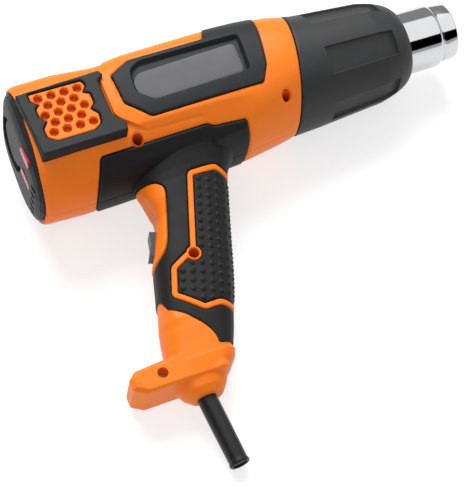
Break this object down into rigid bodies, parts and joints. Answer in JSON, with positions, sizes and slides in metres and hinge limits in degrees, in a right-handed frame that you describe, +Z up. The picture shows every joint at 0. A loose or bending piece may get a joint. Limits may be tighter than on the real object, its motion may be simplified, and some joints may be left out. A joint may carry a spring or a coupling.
{
  "type": "heat gun",
  "caption": "Pistol-grip electric heat gun with chromed nozzle, soft grip, rear temperature dial and rocker switch, lying on its side.",
  "frame": {"origin": "on the bench, below the middle of the gun without its cord, as it lies on its left side", "axes": "+X points the way the nozzle blows, pitched 2.8 degrees below level; the handle runs towards -Y; +Z up from the bench, through the gun's right side"},
  "size_m": [0.2706, 0.2391, 0.0818],
  "materials": {
    "black_nylon": "glass-filled nylon",
    "black_shroud": "matte heat-resistant plastic",
    "black_trim": "satin moulded plastic",
    "cable_rubber": "smooth cable rubber",
    "ceramic": "fired ceramic",
    "chromed_tube": "polished chrome",
    "circuit_board": "solder mask",
    "grey_plate": "smooth satin plate",
    "heating_wire": "drawn resistance wire",
    "mica": "mica sheet",
    "orange_housing": "fine moulded texture, satin",
    "plated_steel": "zinc plated",
    "red_lens": "clear red moulded lens",
    "soft_grip": "matte soft-touch elastomer"
  },
  "bodies": {
    "gun": {"right_shell": "orange_housing", "right_overmould": "soft_grip", "right_grip_pad": "soft_grip", "right_name_panel": "black_trim", "right_name_plate": "grey_plate", "right_grille_frame": "black_trim", "right_honeycomb": "orange_housing", "left_shell": "orange_housing", "left_overmould": "soft_grip", "left_grip_pad": "soft_grip", "left_name_panel": "black_trim", "left_name_plate": "grey_plate", "left_grille_frame": "black_trim", "left_honeycomb": "orange_housing", "rear_cover": "black_trim", "dial_potentiometer": "plated_steel", "control_board": "circuit_board", "upper_indicator_lens": "red_lens", "lower_indicator_lens": "red_lens", "heater_shroud": "black_shroud", "nozzle_tube": "chromed_tube", "nozzle_mount_ring": "plated_steel", "mica_sleeve": "mica", "heater_core": "ceramic", "heating_coil": "heating_wire", "motor_can": "plated_steel", "fan_guide": "black_nylon", "switch_body": "black_nylon", "cord_clamp": "black_nylon", "front_clamp_screw": "plated_steel", "rear_clamp_screw": "plated_steel", "cord_guard": "cable_rubber", "power_cord": "cable_rubber", "body_screw": "plated_steel", "collar_screw": "plated_steel", "handle_screw": "plated_steel", "base_screw": "plated_steel"},
    "fan": {"fan_impeller": "black_nylon", "motor_shaft": "plated_steel"},
    "dial": {"temperature_dial": "black_trim"},
    "rocker": {"switch_rocker": "black_nylon"}
  },
  "joints": [
    {"name": "fan_spin", "type": "hinge", "parent": "gun", "child": "fan", "pos_m": [-0.01833, 0.0654, 0.03737], "axis": [0.9988, 0, -0.0489], "continuous": true},
    {"name": "dial_turn", "type": "hinge", "parent": "gun", "child": "dial", "pos_m": [-0.12985, 0.07328, 0.04418], "axis": [0.9979, -0.0345, -0.0548], "range_deg": [0, 270]},
    {"name": "switch_rock", "type": "hinge", "parent": "gun", "child": "rocker", "pos_m": [-0.08041, -0.01167, 0.0271], "axis": [0.0481, -0.1699, 0.9843], "range_deg": [-8, 8]}
  ]
}
